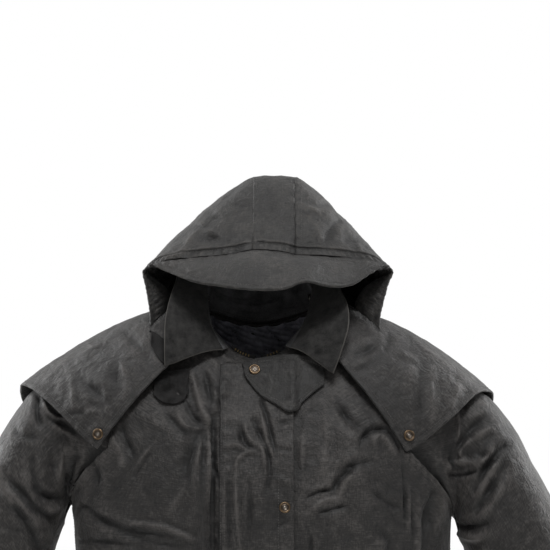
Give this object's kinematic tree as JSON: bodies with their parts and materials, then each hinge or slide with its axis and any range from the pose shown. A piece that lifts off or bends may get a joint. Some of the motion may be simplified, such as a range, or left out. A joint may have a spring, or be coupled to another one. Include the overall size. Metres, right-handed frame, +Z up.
{
  "type": "duster coat",
  "caption": "Long waxed-cotton duster coat with shoulder cape, storm fly, suede collar and a brimmed hood worn up, filled out hollow with arms slightly out.",
  "frame": {"origin": "middle of the back neck seam, where the coat hangs from a wearer's neck and shoulders", "axes": "+Z up, +X to the right seen from the front, +Y to the back"},
  "size_m": [1.0586, 0.4126, 1.4476],
  "materials": {
    "waxed_cotton": "dry waxed cotton, dull, with rubbed creases",
    "hood_cloth": "dry waxed cotton, a shade lighter",
    "suede": "napped suede, mottled, with worn edges",
    "dark_cloth": "plain dark cloth",
    "lining": "quilted satin with a soft sheen",
    "antique_brass": "antique brass, rubbed bright at the centre",
    "zip_teeth": "brass teeth on a dark tape",
    "cord": "woven black cord and elastic",
    "toggle": "moulded black plastic"
  },
  "bodies": {
    "root": {"back": "waxed_cotton", "front_left": "waxed_cotton", "front_right": "waxed_cotton", "sleeve_left": "waxed_cotton", "sleeve_right": "waxed_cotton", "cape": "waxed_cotton", "collar_stand": "dark_cloth", "collar_leaf": "suede", "hood_side_left": "hood_cloth", "hood_side_right": "hood_cloth", "hood_centre_strip": "hood_cloth", "hood_brim": "hood_cloth", "storm_fly": "waxed_cotton", "neck_tab": "waxed_cotton", "throat_tab": "dark_cloth", "throat_strap": "dark_cloth", "lining_yoke": "lining", "zip_tape_left": "dark_cloth", "zip_end_left": "zip_teeth", "zip_tape_right": "dark_cloth", "zip_end_right": "zip_teeth", "snap_fly_1": "antique_brass", "snap_fly_2": "antique_brass", "snap_fly_3": "antique_brass", "snap_fly_4": "antique_brass", "snap_fly_5": "antique_brass", "snap_fly_6": "antique_brass", "snap_cape_left": "antique_brass", "snap_cape_right": "antique_brass", "snap_neck_tab": "antique_brass", "snap_stand_left": "antique_brass", "snap_stand_right": "antique_brass", "hood_loop_left_front": "cord", "hood_loop_left_back": "cord", "hood_loop_right_front": "cord", "hood_loop_right_back": "cord", "drawcord_left": "cord", "drawcord_tail_left": "cord", "toggle_left": "toggle", "drawcord_right": "cord", "drawcord_tail_right": "cord", "toggle_right": "toggle"}
  },
  "joints": []
}
